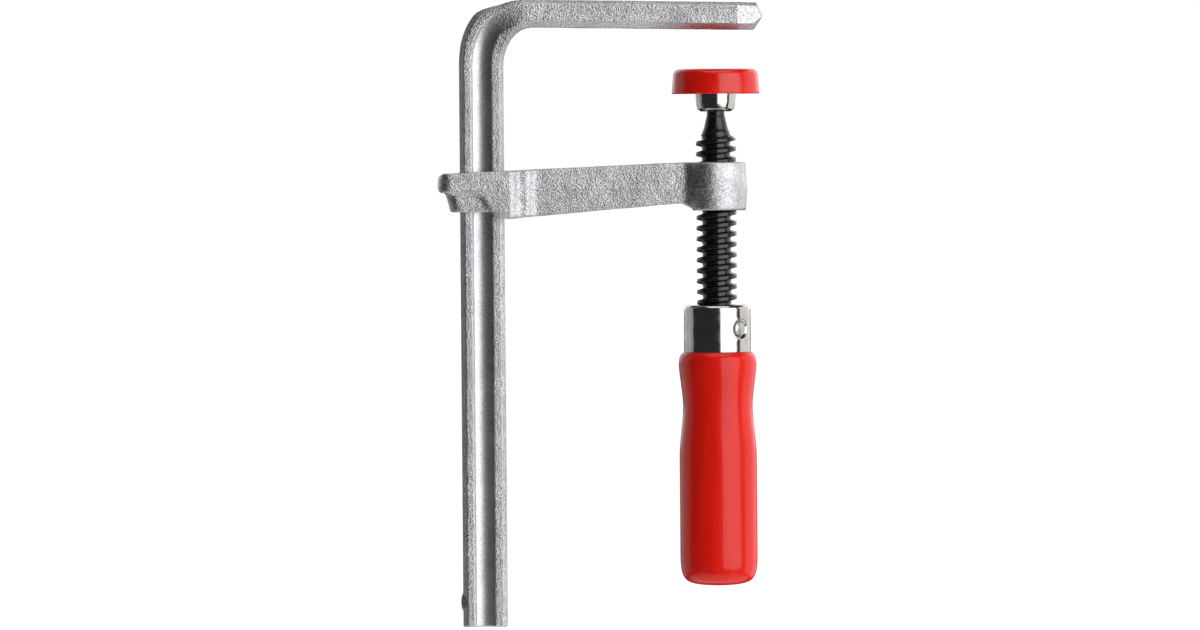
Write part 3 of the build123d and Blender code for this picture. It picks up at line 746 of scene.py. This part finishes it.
lacquer, nodes, links, surface = shader("red_lacquered_wood", Metallic=0.0, Coat_Weight=0.35)
surface.inputs["Coat Roughness"].default_value = 0.06
surface.inputs["Specular IOR Level"].default_value = 0.2
ripple = texture(nodes, links, "ShaderNodeTexNoise", (1, 1, 0.06), Scale=420.0, Detail=3.0, Roughness=0.5)
fibre = texture(nodes, links, "ShaderNodeTexNoise", (1, 1, 0.03), Scale=1800.0, Detail=3.0, Roughness=0.6)
pores = texture(nodes, links, "ShaderNodeTexNoise", (1, 1, 0.12), Scale=1100.0, Detail=2.0)
colour = tint(nodes, links, ripple.outputs["Fac"], (0.76, 0.009, 0.003), (0.84, 0.012, 0.004))
links.new(colour, surface.inputs["Base Color"])
links.new(spread(nodes, links, fibre.outputs["Fac"], 0.28, 0.42), surface.inputs["Roughness"])
relief(
    nodes,
    links,
    surface,
    (ripple.outputs["Fac"], 0.10 * MM),
    (fibre.outputs["Fac"], 0.012 * MM),
    (pores.outputs["Fac"], 0.012 * MM),
)

# the turned shape as radii and distances from the shoulder
outline = [(9.7, 0.0), (10.35, 0.55), (10.85, 1.6), (11.0, 2.8), (10.93, 4.6), (10.7, 6.8)]
outline += [(10.35, 9.4), (10.02, 12.2), (9.86, 14.6), (9.88, 16.6), (10.05, 19.0), (10.35, 21.8)]
outline += [(10.66, 24.6), (10.86, 27.0), (GRIP_RADIUS, GRIP_START)]
grip = smooth_curve(outline, 4)
grip += [(GRIP_RADIUS, GRIP_START + (GRIP_END - GRIP_START) * i / 20) for i in range(1, 21)]
end_knots = [(GRIP_RADIUS, -8.5), (10.9, -6.6), (10.72, -4.9), (10.3, -3.2), (9.55, -1.9)]
end_knots += [(8.3, -1.0), (6.0, -0.4), (3.0, -0.1), (0, 0)]
grip += smooth_curve([(r, HANDLE_LENGTH + z) for r, z in end_knots], 4)[1:]
wood_neck = [(0, -WOOD_NECK_LENGTH), (WOOD_NECK_RADIUS, -WOOD_NECK_LENGTH), (WOOD_NECK_RADIUS, -0.05)]
grip_profile = wood_neck + [(9.2, -0.02)] + grip


def turned_wood(p):
    """The slight unevenness that sanding and lacquer leave, longer along the grain."""
    grain = noise.noise(Vector((p.x * 0.35, p.y * 0.35, p.z * 0.03))) * 0.045
    return Vector((p.x * (1 + grain / 11), p.y * (1 + grain / 11), HANDLE_TOP - p.z))


handle = lathe("turned_handle", grip_profile, [lacquer], 160, None, turned_wood)
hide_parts("handle")
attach(handle, "spindle")

# --------------------------------------------------------------------------------------------------
# Studio: a pale floor level with the rail's foot, a white backdrop behind the clamp, and soft panels of
# light round it.
FLOOR_Z = RAIL_FOOT * MM


def stage_material(name, colour, glow):
    """A plain stage surface, with some light of its own."""
    material, nodes, links, surface = shader(name, Roughness=0.9)
    surface.inputs["Base Color"].default_value = (*colour, 1)
    surface.inputs["Emission Color"].default_value = (1, 1, 1, 1)
    surface.inputs["Emission Strength"].default_value = glow
    return material


def panel(name, corners, material):
    """A flat stage surface between four corners, in metres."""
    mesh = bpy.data.meshes.new(name)
    mesh.from_pydata(corners, [], [(0, 1, 2, 3)])
    mesh.materials.append(material)
    made = bpy.data.objects.new(name, mesh)
    bpy.context.scene.collection.objects.link(made)
    made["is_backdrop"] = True
    return made


pale = stage_material("pale_floor", (0.35, 0.35, 0.35), 0.9)
white = stage_material("white_backdrop", (0.3, 0.3, 0.3), 1.0)
floor = panel("floor", [(-4, -2, FLOOR_Z), (4, -2, FLOOR_Z), (4, 5, FLOOR_Z), (-4, 5, FLOOR_Z)], pale)
# the floor neither lights the clamp nor shows in its metal: a small card lights it from below instead
floor.visible_glossy = False
floor.visible_diffuse = False
floor.visible_shadow = False
panel("backdrop", [(-4, 5, FLOOR_Z), (4, 5, FLOOR_Z), (4, 5, 4), (-4, 5, 4)], white)


def softbox(name, azimuth, height, distance, size, power):
    """A soft panel of light that looks at the clamp. Azimuth 0 is in front of it and 90 on its right."""
    turn = radians(azimuth)
    target = Vector((-0.03, 0, -0.08))
    place = target + Vector((distance * sin(turn), -distance * cos(turn), height))
    light = bpy.data.lights.new(name, "AREA")
    light.shape = "RECTANGLE"
    light.size = size[0]
    light.size_y = size[1]
    light.energy = power
    made = bpy.data.objects.new(name, light)
    made.location = place
    made.rotation_euler = (target - place).to_track_quat("-Z", "Y").to_euler()
    bpy.context.scene.collection.objects.link(made)


softbox("key", 41, 0.15, 1.1, (1.24, 1.3), 12)
softbox("left_side", -128, 0.1, 1.2, (1.2, 1.2), 2.4)
softbox("right_side", 118, 0.1, 1.2, (1.6, 1.5), 8)
softbox("top", 10, 1.2, 0.4, (1.2, 0.8), 5)
softbox("card", 0, -0.3, 0.02, (0.7, 0.5), 1.1)

world = bpy.data.worlds.new("studio")
bpy.context.scene.world = world
world.use_nodes = True
background = world.node_tree.nodes["Background"]
background.inputs["Color"].default_value = (1, 1, 1, 1)
background.inputs["Strength"].default_value = 0.035
bpy.context.scene.view_settings.view_transform = "Standard"

# --------------------------------------------------------------------------------------------------
# Camera: a long lens almost level with the clamp, square to its wide side.
lens = bpy.data.cameras.new("camera")
lens.sensor_width = 36
lens.lens = 264.7
lens.clip_end = 50
camera = bpy.data.objects.new("camera", lens)
bpy.context.scene.collection.objects.link(camera)
rise = radians(1.3)
lean = radians(0.45)
aim = Vector((-0.0332, 0, -0.0806))
forward = Vector((0, cos(rise), -sin(rise)))
level_right = Vector((1, 0, 0))
level_up = level_right.cross(forward)
right = level_right * cos(lean) - level_up * sin(lean)
up = level_up * cos(lean) + level_right * sin(lean)
pose = Matrix((right, up, -forward)).transposed().to_4x4()
pose.translation = aim - forward * 2.5
camera.matrix_world = pose
bpy.context.scene.camera = camera

low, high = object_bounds()
